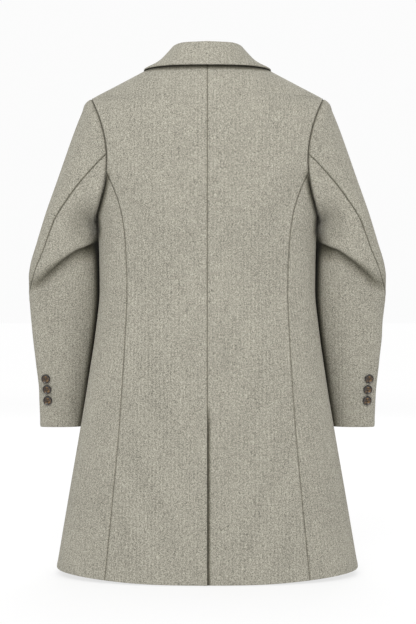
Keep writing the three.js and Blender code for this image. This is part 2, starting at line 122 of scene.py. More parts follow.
# Level sections of the body, as in the CAD
body = table("z half back front power", [
    (13, 75, 47, 38, 2.0),
    (0, 99.7, 65, 52, 2.0),
    (-20, 137.6, 78, 67, 2.0),
    (-42, 179.3, 88, 79, 2.0),
    (-64, 221, 97, 90, 2.0),
    (-80, 246, 102, 97, 2.0),
    (-100, 261, 107, 105, 2.0),
    (-125, 268, 111.5, 113, 2.0),
    (-150, 264, 115, 120, 2.0),
    (-210, 238, 116, 128, 2.1),
    (-290, 211, 110, 130, 2.4),
    (-360, 207.5, 101, 127, 2.4),
    (-430, 206.5, 97, 125, 2.4),
    (-500, 213, 100, 127, 2.4),
    (-603, 228.5, 111, 131, 2.4),
    (-690, 243, 121, 134, 2.4),
    (-844, 269, 134, 138, 2.4),
    (-970, 290, 143, 141, 2.4),
])
back_seam = table("z x", [
    (-212, 188.5),
    (-240, 176),
    (-290, 160.5),
    (-345, 153.3),
    (-431, 150.4),
    (-524, 153.8),
    (-672, 162.3),
    (-819, 174.9),
    (-970, 189.2),
])
side_seam = table("z turn", [(-268, 101), (-330, 107), (-430, 110), (-970, 110)])

# Level rings of the sleeve, as in the CAD
sleeve = table("z outer inner mid deep lean power", [
    (-300, 311, 210.5, -4, 66, 0.3, 2.2),
    (-338, 323.5, 208.5, -8, 63, 0.32, 2.2),
    (-384, 337.5, 206.5, -14, 58, 0.34, 2.3),
    (-407, 341, 205, -20, 55, 0.36, 2.3),
    (-430, 341, 204, -26, 52, 0.38, 2.4),
    (-500, 337.5, 205, -42, 47, 0.4, 2.5),
    (-570, 331, 214, -58, 44, 0.42, 2.7),
    (-640, 325.5, 226, -74, 42, 0.4, 2.9),
    (-697, 325, 234, -88, 41, 0.35, 3.0),
])
elbow_fold = table("turn z reach", [
    (-180, -334, 0),
    (-135, -345, 0),
    (-90, -372, 0.35),
    (-45, -395, 0),
    (0, -414, 0),
    (39, -418, 0.04),
    (60, -411, 0.16),
    (87, -388, 0.5),
    (110, -363, 0.95),
    (132, -344, 1),
    (160, -338, 0.2),
    (180, -334, 0),
])

# How dark the painted shade in the hollow under the elbow fold is, how far down it reaches,
# and how softly it begins
hollow_shade = table("turn dark deep soft", [
    (-180, 0, 20, 6),
    (20, 0, 10, 16),
    (39, 0.3, 15, 18),
    (60, 0.5, 18, 16),
    (87, 0.62, 24, 12),
    (110, 0.68, 28, 6),
    (132, 0.72, 29, 3),
    (150, 0.86, 32, 3),
    (172, 0.9, 34, 3),
    (180, 0, 20, 6),
])

# Form across the elbow fold: the cloth above it hangs over a hollow in the cloth below it
fold_form = table("below out slip", [
    (-70, 0, 0),
    (-32, 3, 0),
    (-14, 6.5, -1),
    (-6, 8, -4),
    (-2, 6.5, -7),
    (2, 1, -6),
    (5, -4, 2),
    (9, -6.5, 6),
    (14, -6.5, 3),
    (30, -4.5, 0),
    (55, -1.5, 0),
    (90, 0, 0),
])
sleeve_seams = table("z hind front", [
    (-250, 88, -128),
    (-295, 84, -128),
    (-333, 72, -127),
    (-385, 34, -126),
    (-450, 8, -124),
    (-700, 8, -120),
])
collar = table("along fold_x fold_y fold_z edge_turn edge_z edge_lift", [
    (0, 0, 60, 37, 0, -14.3, 9),
    (0.25, 46, 49, 36.5, 44, -13.5, 8),
    (0.5, 67, 4, 34, 90, -11, 3.6),
    (0.75, 66, -44, 8, 112, -36, 7),
    (1, 58, -79, -38, 123, -70, 7),
])
lapel = table("down x z", [(0, 140, -112), (0.3, 117, -168), (0.7, 38, -278), (1, -19, -350)])


def mix(start, end, share):
    return start + (end - start) * share


def smooth(start, end, value):
    t = np.clip((value - start) / (end - start), 0, 1)
    return t * t * (3 - 2 * t)


def bump(centre, width, value):
    """1 at the centre, falling softly to 0 about twice the width away."""
    return np.exp(-(((value - centre) / width) ** 2))


def length(vectors):
    return np.linalg.norm(vectors, axis=-1)


def body_point(turn, z):
    """The body's surface, by the turn from the centre back towards +X and the height."""
    turn, z = np.broadcast_arrays(np.asarray(turn, float), np.asarray(z, float))
    side, rear = np.sin(turn), np.cos(turn)
    depth = np.where(rear > 0, body["back"](z), body["front"](z))
    power = body["power"](z)
    reach = ((np.abs(side) / body["half"](z)) ** power + (np.abs(rear) / depth) ** power) ** (-1 / power)
    return np.stack([reach * side, reach * rear, z], -1)


def turn_at(x, z, face):
    """The turn at which the body's back (face 1) or front (face -1) has the given x."""
    x, z = np.asarray(x, float), np.asarray(z, float)
    power = body["power"](z)
    depth = body["back"](z) if face > 0 else body["front"](z)
    share = np.minimum(np.abs(x) / body["half"](z), 1)
    turn = np.arctan2(np.abs(x), face * depth * (1 - share ** power) ** (1 / power))
    beyond = -turn if face > 0 else 2 * math.pi - turn
    return np.where(x < 0, beyond, turn)


def armhole(angle):
    """Turn and height round the armhole, from the shoulder point round the back (+) or front (-)."""
    angle = np.asarray(angle, float)
    low = (1 - np.cos(angle)) / 2
    scoop = np.where(angle > 0, 28, 34) * np.abs(np.sin(angle)) ** 2.2
    z = mix(SHOULDER["z"], UNDERARM["z"], low)
    x = mix(SHOULDER["x"], UNDERARM["x"], low) - scoop
    turn = np.where(angle >= 0, turn_at(x, z, 1), turn_at(x, z, -1))
    return np.stack([turn, z], -1)


def hem_at(turn):
    return mix(HEM["centre"], HEM["side"], np.abs(np.sin(turn)) ** HEM["bend"])


def hemmed(grid):
    """A panel's grid with its lowest rows bent to the curve of the hem."""
    foot = grid[-1]
    near = smooth(0.75, 1, np.linspace(0, 1, len(grid)))[:, None]
    grid = grid.copy()
    grid[..., 1] += near * (hem_at(foot[:, 0]) - foot[:, 1])[None]
    return grid


def joined(*lines):
    """Lines joined end to end, each without its last point except the last line."""
    return np.concatenate([*(line[:-1] for line in lines[:-1]), lines[-1]])


def ruled(first, second, columns):
    """Surface parameters between two edges with equal numbers of points."""
    shares = np.linspace(0, 1, columns + 1)[None, :, None]
    return mix(first[:, None, :], second[:, None, :], shares)


def finer(grid):
    """The grid with extra rows and columns just inside its border, where the seams are formed."""
    extra = np.array([0.2, 0.42, 0.68])
    for axis in (0, 1):
        grid = np.moveaxis(grid, axis, 0)
        first = [mix(grid[0], grid[1], share) for share in extra]
        last = [mix(grid[-2], grid[-1], 1 - share) for share in extra[::-1]]
        grid = np.concatenate([grid[:1], first, grid[1:-1], last, grid[-1:]])
        grid = np.moveaxis(grid, 0, axis)
    return grid


def drawn_in(surface, grid):
    """The grid with its border moved so that the cloth of two pieces just meets at their seam."""
    for axis in (0, 1):
        grid = np.moveaxis(grid, axis, 0).copy()
        for end, near in ((0, 1), (-1, -2)):
            gap = length(surface(*grid[end].T) - surface(*grid[near].T))
            share = np.minimum(SEAM_MEET / np.maximum(gap, 1e-6), 0.4)[:, None]
            grid[end] = mix(grid[end], grid[near], share)
        grid = np.moveaxis(grid, 0, axis)
    return grid


def normals_of(surface, u, v):
    small = 0.002
    around = surface(u + small, v) - surface(u - small, v)
    along = surface(u, v + small * 50) - surface(u, v - small * 50)
    normal = np.cross(along, around)
    return normal / np.maximum(length(normal), 1e-9)[..., None]


def lifted(surface, u, v, lift):
    """Points moved off a surface along its outward normal."""
    return surface(u, v) + normals_of(surface, u, v) * np.asarray(lift, float)[..., None]


# How each kind of border is formed: the depth and width of its dip, the height, place and width of
# the ridge beside it, and how dark the painted shade along its line is, in place of the shadow in the
# seam, over what width. The drape dies away at a side seam, where the lines of the two pieces differ.
borders = {
    "seam": {"dip": 0.9, "width": 1.3, "ridge": 0.35, "at": 5, "spread": 2.6, "dark": 0.55, "line": 1.1},
    "centre": {"dip": 0.9, "width": 1.2, "ridge": 0.3, "at": 5, "spread": 2.6, "dark": 0.6, "line": 1.0},
    "head": {"dip": 1.8, "width": 3.0, "ridge": 2.4, "at": 17, "spread": 10, "dark": 0.6, "line": 2.8},
    "edge": {"dip": 0, "width": 1, "ridge": 0.5, "at": 7, "spread": 6, "dark": 0, "line": 1},
}
borders["side"] = borders["seam"]
# The sleeve's hind seam has a darker and wider painted shade along it.
borders["hind"] = {**borders["seam"], "dark": 0.72, "line": 1.5}
turned_edges = {"edge"}


def shell(name, surface, grid, kinds, lift=None, relief=None, shade=None, sign=1, grain=0.0):
    """A closed cloth wall over a grid of surface parameters, riding on the root body.

    kinds names the borders at the left, right, top and foot of the grid. lift, relief and shade give
    the height of the layer, of the drape and of the painted shade on the cloth. The weave lies in the
    UV map, in metres, straight down the column that grain names as a share of the width.
    """
    grid = finer(drawn_in(surface, grid))
    u, v = grid[..., 0], grid[..., 1]
    base = surface(u, v)
    normal = normals_of(surface, u, v)
    rows, columns = u.shape
    across = np.zeros((rows, columns))
    across[:, 1:] = np.cumsum(length(np.diff(base, axis=1)), axis=1)
    down = np.zeros((rows, columns))
    down[1:] = np.cumsum(length(np.diff(base, axis=0)), axis=0)
    from_border = {
        "left": across,
        "right": across[:, -1:] - across,
        "top": down,
        "foot": down[-1:] - down,
    }

    out = np.zeros((rows, columns)) if lift is None else lift(u, v) + np.zeros((rows, columns))
    thin = np.zeros((rows, columns))
    dark = np.zeros((rows, columns))
    if relief is not None:
        held = 1
        for side, kind in kinds.items():
            if kind == "side":
                held = held * smooth(0, 26, from_border[side])
        out = out + relief(base, u, v) * held
    # Each border dips and has a ridge beside it, with painted shade along its line for the shadow in the
    # seam.
    for side, kind in kinds.items():
        form, away = borders[kind], from_border[side]
        thin += form["dip"] * bump(0, form["width"], away)
        out += form["ridge"] * bump(form["at"], form["spread"], away)
        dark = np.maximum(dark, form["dark"] * bump(0, form["line"], away))
        if kind in turned_edges:
            thin += 0.8 * np.clip(1 - away / 1.2, 0, 1) ** 2
    # The piece's own painted shade is laid over the painted shade of its seams.
    if shade is not None:
        dark = 1 - (1 - dark) * (1 - shade(base, u, v))
    outer = base + normal * (out - np.minimum(thin, CLOTH - 0.5))[..., None]
    inner = base + normal * (out - CLOTH)[..., None]

    points = np.concatenate([outer.reshape(-1, 3), inner.reshape(-1, 3)]) * MM * (sign, 1, 1)
    number = np.arange(rows * columns).reshape(rows, columns)
    a, b = number[:-1, :-1], number[:-1, 1:]
    c, d = number[1:, 1:], number[1:, :-1]
    front = np.stack([a, b, c, d], -1).reshape(-1, 4)
    rear = front[:, ::-1] + rows * columns
    ring = np.concatenate([number[0, :-1], number[:-1, -1], number[-1, :0:-1], number[:0:-1, 0]])
    after = np.roll(ring, -1)
    rim = np.stack([after, ring, ring + rows * columns, after + rows * columns], -1)
    faces = np.concatenate([front, rear, rim])
    centre = points.mean(0)
    ends = points[faces]
    turned = np.cross(ends[:, 2] - ends[:, 0], ends[:, 3] - ends[:, 1])
    if np.sum(turned * (ends.mean(1) - centre)) < 0:
        faces = faces[:, ::-1]

    mesh = bpy.data.meshes.new(name)
    mesh.from_pydata(points.tolist(), [], faces.tolist())
    middle = int(round(grain * (columns - 1)))
    cut_u = (across - across[:, middle:middle + 1]) * MM
    cut_v = (base[:1, :, 2] - down) * MM
    cut = np.stack([cut_u.ravel(), cut_v.ravel()], -1)
    cut = np.concatenate([cut, cut])
    loops = np.empty(len(mesh.loops), int)
    mesh.loops.foreach_get("vertex_index", loops)
    mesh.uv_layers.new(name="cut").data.foreach_set("uv", cut[loops].ravel())
    # All the painted shade goes into the dark attribute, on the outer points only.
    darkness = mesh.attributes.new("dark", "FLOAT", "POINT")
    darkness.data.foreach_set("value", np.concatenate([dark.ravel(), np.zeros(dark.size)]))
    mesh.polygons.foreach_set("use_smooth", np.ones(len(faces), bool))
    mesh.update()
    obj = bpy.data.objects.new(name, mesh)
    bpy.context.collection.objects.link(obj)
    width = across[:, -1].max() * MM
    height = max(down[-1, middle], float(np.ptp(base[..., 2]))) * MM
    middle_widths = (across[1:, -1] + across[:-1, -1]) / 2
    area = float(np.sum(middle_widths * np.diff(down[:, columns // 2]))) * MM * MM
    obj["cut"] = (width, height, area)
    return obj


# Outlines of the body panels, each a line of [turn, height]
def level_lines(z, turn):
    return np.stack([turn + 0 * z, z], -1)


ROWS = {"shoulder": 36, "armhole": 62, "skirt": 220}
STATION = math.pi / 10


def shoulder_line():
    return level_lines(np.linspace(NECK["z"], SHOULDER["z"], ROWS["shoulder"] + 1), math.pi / 2)


def back_armhole():
    return armhole(np.linspace(0, 6, ROWS["armhole"] + 1) * STATION)


def front_armhole():
    return armhole(-np.linspace(0, 8, ROWS["armhole"] + 1) * STATION)


def back_seam_line():
    z = np.linspace(back_armhole()[-1, 1], hem_at(math.radians(60)), ROWS["skirt"] + 1)
    return np.stack([turn_at(back_seam["x"](z), z, 1), z], -1)


def side_seam_line():
    top = front_armhole()[-1]
    z = np.linspace(top[1], hem_at(math.radians(110)), ROWS["skirt"] + 1)
    turn = np.radians(side_seam["turn"](z))
    turn[0] = top[0]
    return np.stack([turn, z], -1)


def roll_line(count):
    share = np.linspace(0, 1, count + 1)
    return mix(GORGE["x"], -FRONT_OVERLAP, share), mix(GORGE["z"], LAPEL_BREAK, share)


def over_right(turn, z):
    """How far the left front rises to pass over the right one."""
    x = body_point(turn, z)[..., 0]
    return (CLOTH + LAY_GAP) * (1 - smooth(35, 85, x)) * (1 - smooth(-240, -170, z))


def soft_lines(lines, across, along):
    """The height of soft troughs and ridges, each from one end to another, with a width and height."""
    total = 0
    for line in lines:
        (x0, z0), (x1, z1) = line["from"], line["to"]
        reach = math.hypot(x1 - x0, z1 - z0)
        share = ((across - x0) * (x1 - x0) + (along - z0) * (z1 - z0)) / reach ** 2
        away = ((across - x0) * (z1 - z0) - (along - z0) * (x1 - x0)) / reach
        bend = line.get("bend", 0) * reach * (1 - (2 * np.clip(share, 0, 1) - 1) ** 2)
        ends = smooth(-0.15, 0.25, share) * (1 - smooth(0.75, 1.15, share))
        total = total + line["height"] * ends * bump(0, line["width"], away - bend)
    return total


# Soft drape of the back and sides, by x and height, uneven from side to side
drape_left = [
    {"from": (176, -232), "to": (120, -372), "width": 24, "height": -1.6, "bend": 0.05},
    {"from": (120, -210), "to": (84, -330), "width": 26, "height": 1.1},
    {"from": (60, -470), "to": (78, -965), "width": 30, "height": -1.8, "bend": 0.02},
    {"from": (120, -520), "to": (142, -968), "width": 24, "height": 1.6},
    {"from": (206, -610), "to": (244, -960), "width": 22, "height": -2.2},
    {"from": (20, -700), "to": (24, -968), "width": 12, "height": 1.2},
    {"from": (70, -52), "to": (168, -118), "width": 24, "height": 1.2, "bend": 0.06},
]
drape_right = [
    {"from": (180, -240), "to": (112, -352), "width": 22, "height": -1.4, "bend": 0.06},
    {"from": (126, -200), "to": (92, -352), "width": 28, "height": 1.2},
    {"from": (52, -500), "to": (66, -965), "width": 26, "height": -1.6},
    {"from": (112, -480), "to": (126, -968), "width": 28, "height": 1.5, "bend": -0.02},
    {"from": (212, -570), "to": (250, -960), "width": 24, "height": -1.9},
    {"from": (24, -680), "to": (30, -968), "width": 14, "height": 1.0},
    {"from": (64, -48), "to": (160, -112), "width": 26, "height": 1.1, "bend": 0.05},
]
front_drape = [
    {"from": (170, -250), "to": (90, -372), "width": 22, "height": -1.8, "bend": 0.05},
    {"from": (120, -430), "to": (148, -965), "width": 30, "height": -1.8},
    {"from": (62, -640), "to": (72, -968), "width": 22, "height": 1.4},
    {"from": (190, -560), "to": (232, -965), "width": 24, "height": 1.8},
]


# Place of the armhole seam as seen from behind
armhole_edge = table("z x", [(-177, 188), (-212, 189.4), (-243, 195.5), (-268, 203.2), (-290, 211)])


def sleeve_meets(z):
    """Where the sleeve and the body meet as seen from behind, by height."""
    return np.where(z > UNDERARM["z"], armhole_edge["x"](z), body["half"](z))


def beside_sleeve(base, u, v):
    """The shade on the body beside the part of the sleeve that hangs over its armhole seam."""
    x, z = base[..., 0], base[..., 2]
    away = sleeve_meets(z) - x
    reached = smooth(200, 228, -z) * (1 - smooth(318, 340, -z))
    return 0.97 * (1 - smooth(0.5, 13, away)) * reached * (base[..., 1] > 0)


def body_relief(lines):
    return lambda base, u, v: soft_lines(lines, np.abs(base[..., 0]), base[..., 2])


def vent_open(z):
    """How far the vent has opened, from 0 at its top to 1."""
    return smooth(-VENT_TOP - 4, -VENT_TOP + 60, -z)


def back_relief(lines, vent_lift, vent_width):
    """The drape of a back panel, with its vent edge lifted or pressed down."""
    def relief(base, u, v):
        beside = bump(0, vent_width, base[..., 0])
        drape = soft_lines(lines, base[..., 0], base[..., 2])
        return drape + vent_lift * beside * vent_open(base[..., 2])

    return relief


def back_shade(vent_dark):
    """The shade below the collar and, on the under side of the vent, beside the vent's edge."""
    def shade(base, u, v):
        x, z = base[..., 0], base[..., 2]
        vent = vent_dark * (1 - smooth(1.5, 8, x)) * vent_open(z)
        return 1 - (1 - vent) * (1 - under_collar(base, u, v)) * (1 - beside_sleeve(base, u, v))

    return shade


def under_collar(base, u, v):
    """The shade on the cloth just below the edge of the collar."""
    edge = collar["edge_z"](np.clip(np.abs(np.degrees(u)) / 180, 0, 0.5))
    below = edge - base[..., 2]
    return 0.7 * smooth(-30, -12, below) * (1 - smooth(0, 7, below))


def back_panel(name, sign, relief, shade):
    outer = joined(shoulder_line(), back_armhole(), back_seam_line())
    foot = np.linspace(0, 1, ROWS["skirt"] + 1)
    centre_z = joined(
        np.linspace(0, SHOULDER["z"], ROWS["shoulder"] + 1),
        back_armhole()[:, 1],
        mix(back_armhole()[-1, 1], HEM["centre"], foot),
    )
    grid = hemmed(ruled(level_lines(centre_z, 0.0), outer, 48))
    kinds = {"left": "centre", "right": "seam", "top": "seam", "foot": "edge"}
    return shell(name, body_point, grid, kinds, relief=relief, shade=shade, sign=sign)


def side_panel(name, sign, lines):
    grid = hemmed(ruled(back_seam_line(), side_seam_line(), 36))
    top = armhole_round(np.linspace(6, 12, 37))
    settle = 1 - smooth(0, 4 / 13, np.linspace(0, 1, len(grid)))
    grid = grid + (top - grid[0])[None] * settle[:, None, None]
    kinds = {"left": "seam", "right": "side", "top": "seam", "foot": "edge"}
    relief = body_relief(lines)
    return shell(name, body_point, grid, kinds, relief=relief, shade=beside_sleeve, sign=sign, grain=0.5)


def armhole_round(stations):
    """The armhole at stations counted on past the underarm (10) and up its front."""
    return armhole(np.where(stations > 10, stations - 20, stations) * STATION)


def front_panel(name, sign, lift):
    outer = joined(shoulder_line(), front_armhole(), side_seam_line())
    x, z = roll_line(ROWS["shoulder"] + ROWS["armhole"])
    below = np.linspace(LAPEL_BREAK, HEM["centre"], ROWS["skirt"] + 1)
    x = np.concatenate([x[:-1], np.full(len(below), -float(FRONT_OVERLAP))])
    z = np.concatenate([z[:-1], below])
    grid = hemmed(ruled(outer, np.stack([turn_at(x, z, -1), z], -1), 56))
    kinds = {"left": "side", "right": "edge", "top": "seam", "foot": "edge"}
    relief = body_relief(front_drape)
    return shell(name, body_point, grid, kinds, lift=lift, relief=relief, sign=sign, grain=1.0)


def vent_underlap():
    z = np.linspace(VENT_TOP, HEM["centre"], 100)
    first = np.stack([turn_at(0 * z, z, 1), z], -1)
    second = np.stack([turn_at(0 * z + VENT_UNDERLAP, z, 1), z], -1)
    kinds = {"right": "edge", "foot": "edge"}
    grid = ruled(first, second, 16)

    def beneath(turn, level):
        return -CLOTH - LAY_GAP + 0 * turn

    return shell("vent_underlap_cloth", body_point, grid, kinds, lift=beneath)


def lapel_panel(name, sign, lift, is_under):
    x, z = roll_line(90)
    down = np.linspace(0, 1, 91)
    start = np.maximum(x, 3 - x) if is_under else x
    end = np.maximum(lapel["x"](down), start + 6)
    shares = np.linspace(0, 1, 31)[None, :]
    across = mix(start[:, None], end[:, None], shares)
    height = mix(z[:, None], lapel["z"](down)[:, None], shares)
    grid = np.stack([turn_at(across, height, -1), height], -1)

    def over_front(turn, level):
        share = (GORGE["z"] - level) / (GORGE["z"] - LAPEL_BREAK)
        roll_x = mix(GORGE["x"], -FRONT_OVERLAP, share)
        swell = smooth(0, 30, body_point(turn, level)[..., 0] - roll_x)
        return lift(turn, level) + CLOTH + 0.6 + 1.7 * swell

    kinds = {"left": "edge", "right": "edge", "top": "seam"}
    return shell(name, body_point, grid, kinds, lift=over_front, sign=sign, grain=1.0)


def through(points, across):
    """A centripetal Catmull-Rom curve through lists of points, at shares of its segments."""
    points = np.stack([2 * points[0] - points[1], *points, 2 * points[-1] - points[-2]])
    place = np.clip(across, 0, 1) * (len(points) - 3)
    i = np.minimum(place.astype(int), len(points) - 4)
    t = (place - i)[..., None]
    flat = np.arange(i.size)
    p = [points.reshape(len(points), -1, 3)[(i.ravel() + k), flat].reshape(*i.shape, 3) for k in range(4)]
    gaps = [np.maximum(length(p[k + 1] - p[k]), 1e-6)[..., None] ** 0.5 for k in range(3)]
    start = (p[1] - p[0]) / gaps[0] - (p[2] - p[0]) / (gaps[0] + gaps[1]) + (p[2] - p[1]) / gaps[1]
    end = (p[2] - p[1]) / gaps[1] - (p[3] - p[1]) / (gaps[1] + gaps[2]) + (p[3] - p[2]) / gaps[2]
    start, end = start * gaps[1], end * gaps[1]
    square = 3 * (p[2] - p[1]) - 2 * start - end
    cube = 2 * (p[1] - p[2]) + start + end
    return p[1] + t * (start + t * (square + t * cube))


def collar_point(along, across):
    """The collar's surface: along from the centre back to the gorge, across up the leaf, over the
    fold and down the stand, in hundredths."""
    along, across = np.broadcast_arrays(np.asarray(along, float), np.asarray(across, float) / 100)
    share = np.minimum(np.abs(along), 1)
    neck_end = float(turn_at(GORGE["x"], GORGE["z"], -1))
    at_back = share <= 0.5
    turn = np.where(at_back, math.pi * share, mix(math.pi / 2, neck_end, share * 2 - 1))
    foot_z = np.where(at_back, NECK["z"] * share * 2, mix(NECK["z"], GORGE["z"], share * 2 - 1))
    neckline = body_point(turn, foot_z)
    top = np.stack([collar[f"fold_{axis}"](share) for axis in "xyz"], -1)
    edge_turn = np.radians(collar["edge_turn"](share))
    edge = lifted(body_point, edge_turn, collar["edge_z"](share), collar["edge_lift"](share))
    out = (edge - neckline) * (1, 1, 0)
    out = out / length(out)[..., None]
    up = np.array([0.0, 0.0, 1.0])
    foot = neckline - CLOTH * out - SEAM_GAP * up
    roundness = 4.2
    middle = top - roundness * up
    inside, outside = middle - roundness * out, middle + roundness * out
    stand_mid = (foot + inside) / 2 - out
    belly = mix(0.5, -3.2, smooth(0.2, 0.45, share))[..., None]
    leaf_mid = (outside + edge) / 2 + belly * (up + out)
    point = through([edge, leaf_mid, outside, top, inside, stand_mid, foot], across)
    return point * np.stack([np.where(along < 0, -1, 1), np.ones(share.shape), np.ones(share.shape)], -1)


def collar_shell():
    along = np.linspace(-0.985, 0.985, 181)
    leaf, fold, stand = np.linspace(0, 0.3, 24), np.linspace(0.3, 0.62, 30), np.linspace(0.62, 1, 18)
    across = joined(leaf, fold, stand)
    grid = np.stack(np.meshgrid(along, across * 100), -1)
    kinds = {"left": "seam", "right": "seam", "top": "edge", "foot": "seam"}
    return shell("collar_cloth", collar_point, grid, kinds, grain=0.5)


# Directions in which the cap of the sleeve leaves the armhole and joins its first ring
cap_leaves = {"top": (60, 0, -5), "side": (42, 6, -35), "under": (3, 0, -4), "tuck": (6, 62, -14)}
cap_joins = {"top": (80, 0, -270), "side": (35, 0, -130), "under": (1, 0, -12), "tuck": (0, 0, 0)}


def cap_direction(directions, turn):
    beside = np.abs(np.abs(turn) - math.radians(135))
    shares = {
        "top": np.maximum(np.cos(turn), 0) ** 2,
        "side": np.sin(turn) ** 2,
        "under": np.maximum(-np.cos(turn), 0) ** 2,
        "tuck": np.where(turn > 0, 1, 0) * (1 - smooth(0, math.radians(42), beside)),
    }
    total = sum(shares[name][..., None] * np.array(directions[name], float) for name in shares)
    total[..., 1] *= np.sign(np.sin(turn))
    return total


def sleeve_ring(turn, z, grow):
    deep = sleeve["deep"](z) + grow
    lean = sleeve["lean"](z)
    half = np.sqrt(((sleeve["outer"](z) - sleeve["inner"](z)) / 2 + grow) ** 2 - (lean * deep) ** 2)
    power = sleeve["power"](z)
    across, rear = np.cos(turn), np.sin(turn)
    reach = ((np.abs(across) / half) ** power + (np.abs(rear) / deep) ** power) ** (-1 / power)
    middle = (sleeve["outer"](z) + sleeve["inner"](z)) / 2
    return np.stack([middle + reach * (across + lean * rear), sleeve["mid"](z) + reach * rear, z], -1)


def sleeve_point(turn, down):
    """The sleeve's surface: turn from its outer edge (0) round the back, and the nominal distance
    below its first ring, which is negative on the cap."""
    turn, down = np.broadcast_arrays(np.asarray(turn, float), np.asarray(down, float))
    around = np.arctan2(np.sin(turn), np.cos(turn))
    t = np.clip(1 - down / CAP_DOWN, 0, 1)[..., None]
    hole = armhole(around)
    start = body_point(hole[..., 0], hole[..., 1])
    end = sleeve_ring(around, np.full(around.shape, float(SLEEVE_TOP)), 0)
    weight = (1 + 2 * t) * (1 - t) ** 2
    leave = cap_direction(cap_leaves, around) * t * (1 - t) ** 2
    join = cap_direction(cap_joins, around) * t * t * (1 - t)
    cap = start * weight + end * (1 - weight) + leave - join

    level = SLEEVE_TOP - np.maximum(down, 0)
    window = smooth(-SLEEVE_TOP, -ELBOW, -level) * (1 - smooth(-ELBOW, 130 - ELBOW, -level))
    degrees = np.degrees(around)
    below = np.clip(ELBOW - level, -70, 90)
    reach = np.maximum(elbow_fold["reach"](degrees), 0)
    z = level + (elbow_fold["z"](degrees) - ELBOW) * window + fold_form["slip"](below) * reach
    arm = sleeve_ring(around, z, fold_form["out"](below) * reach)
    return np.where(down[..., None] < 0, cap, arm)


# Creases of the sleeves, by degrees round the sleeve and distance below its first ring
creases_left = [
    {"from": (118, -20), "to": (140, 62), "width": 9, "height": -2.0},
    {"from": (96, -60), "to": (104, 40), "width": 13, "height": 1.8},
    {"from": (62, -30), "to": (70, 70), "width": 12, "height": -1.0},
    {"from": (130, 96), "to": (72, 148), "width": 12, "height": -1.6, "bend": 0.08},
    {"from": (96, 128), "to": (40, 190), "width": 16, "height": 1.3},
    {"from": (60, 230), "to": (30, 330), "width": 18, "height": -1.2},
    {"from": (-60, 40), "to": (-20, 110), "width": 14, "height": -1.4},
    {"from": (-100, 76), "to": (-50, 120), "width": 12, "height": -2.2, "bend": 0.1},
]
creases_right = [
    {"from": (122, -30), "to": (136, 58), "width": 10, "height": -1.8},
    {"from": (92, -70), "to": (100, 36), "width": 14, "height": 1.9},
    {"from": (58, -20), "to": (74, 62), "width": 11, "height": -1.1},
    {"from": (126, 102), "to": (66, 160), "width": 13, "height": -1.7, "bend": 0.06},
    {"from": (40, 110), "to": (24, 210), "width": 14, "height": -2.2},
    {"from": (90, 150), "to": (56, 260), "width": 18, "height": 1.4},
    {"from": (-56, 30), "to": (-24, 100), "width": 13, "height": -1.3},
    {"from": (-104, 80), "to": (-46, 130), "width": 12, "height": -2.0, "bend": 0.08},
]


def sleeve_shade(base, u, v):
    """The shade inside the elbow fold and on the side that faces the body."""
    turn = np.degrees(np.arctan2(np.sin(u), np.cos(u)))
    below = v + ELBOW - SLEEVE_TOP
    deep = hollow_shade["deep"](turn)
    begins = smooth(-hollow_shade["soft"](turn), 4, below)
    ends = 1 - smooth(0.2 * deep, deep + 6, below)
    hollow = begins * ends * hollow_shade["dark"](turn)
    z = base[..., 2]
    # Painted shade, nearly black at its darkest, on the sleeve cloth within a few millimetres of where the
    # sleeve meets the body as seen from behind, by left-right distance alone.
    gap = base[..., 0] - sleeve_meets(z)
    darkest = mix(0.985, 0.86, smooth(560, 660, -z))
    crevice = darkest * (1 - smooth(3.5, 15, gap)) * smooth(316, 342, -z)
    return 1 - (1 - hollow) * (1 - crevice)


def sleeve_panel(name, sign, stations, creases, turns, columns):
    cap = np.linspace(CAP_DOWN, 0, 66)[:-1]
    arm = np.concatenate([
        np.linspace(0, 56, 18)[:-1],
        np.linspace(56, 100, 45)[:-1],
        np.linspace(100, SLEEVE_TOP - CUFF_END, 92),
    ])
    down = np.concatenate([cap, arm])
    settle = smooth(CAP_DOWN, 0, down)[:, None]
    level = SLEEVE_TOP - np.maximum(down, -50)
    start, end = turns(level)
    share = np.linspace(0, 1, columns + 1)[None, :]
    even = np.radians(mix(start[:, None], end[:, None], share))
    at_armhole = mix(stations[0], stations[1], share) * STATION
    grid = np.stack([mix(at_armhole, even, settle), down[:, None] + 0 * even], -1)

    def relief(base, u, v):
        turn = np.degrees(u)
        turn = np.where(turn > 190, turn - 360, turn)
        return soft_lines(creases, turn, v)

    kinds = {"left": "hind", "right": "seam", "top": "head", "foot": "edge"}
    return shell(name, sleeve_point, grid, kinds, relief=relief, shade=sleeve_shade, sign=sign, grain=0.5)


def upper_sleeve(name, sign, creases):
    def turns(z):
        return sleeve_seams["hind"](z), sleeve_seams["front"](z)

    return sleeve_panel(name, sign, (5, -7), creases, turns, 60)


def under_sleeve(name, sign, creases):
    def turns(z):
        return sleeve_seams["hind"](z), sleeve_seams["front"](z) + 360

    return sleeve_panel(name, sign, (5, 13), creases, turns, 48)


